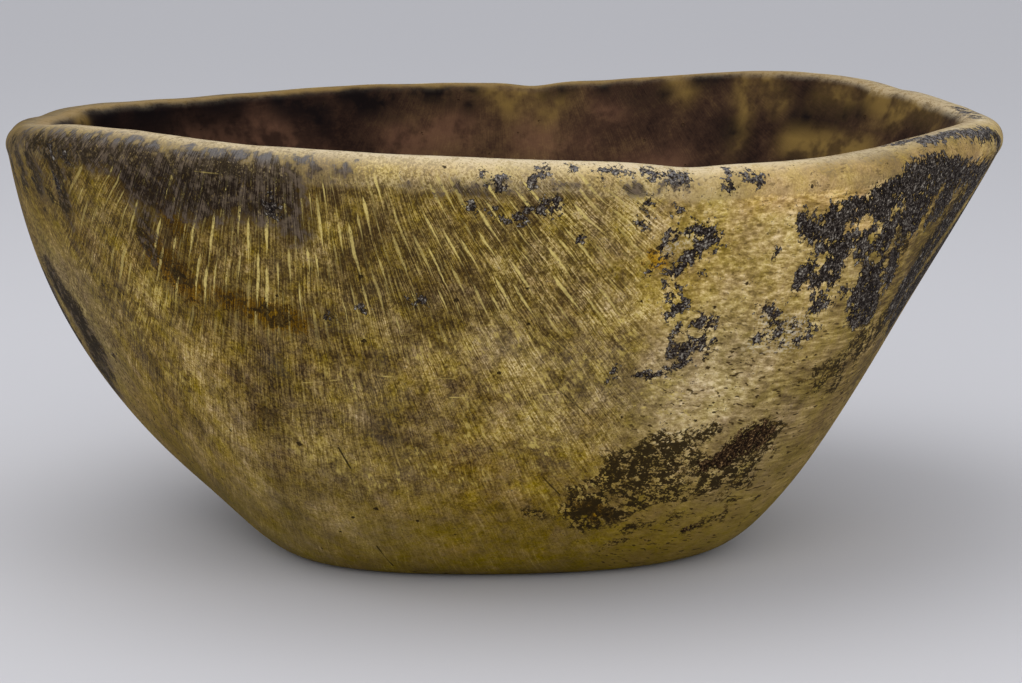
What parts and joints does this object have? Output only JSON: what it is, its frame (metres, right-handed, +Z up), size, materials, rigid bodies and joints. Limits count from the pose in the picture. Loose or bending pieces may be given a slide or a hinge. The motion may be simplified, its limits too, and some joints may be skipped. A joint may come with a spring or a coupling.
{
  "type": "dough bowl",
  "caption": "Large round-bottomed dough bowl dug out of a single block of wood, with an uneven oval rim, thick round lip and flat rubbed foot.",
  "frame": {"origin": "on the table plane under the middle of the rim's outline, with the flat foot standing on Z = 0", "axes": "+X along the grain, the bowl's length; +Y across the grain; +Z up"},
  "size_m": [0.492, 0.48, 0.211],
  "materials": {
    "worn_wood": "worn, hand-rubbed bare wood with dark crusted residue"
  },
  "bodies": {
    "root": {"bowl": "worn_wood"}
  },
  "joints": []
}
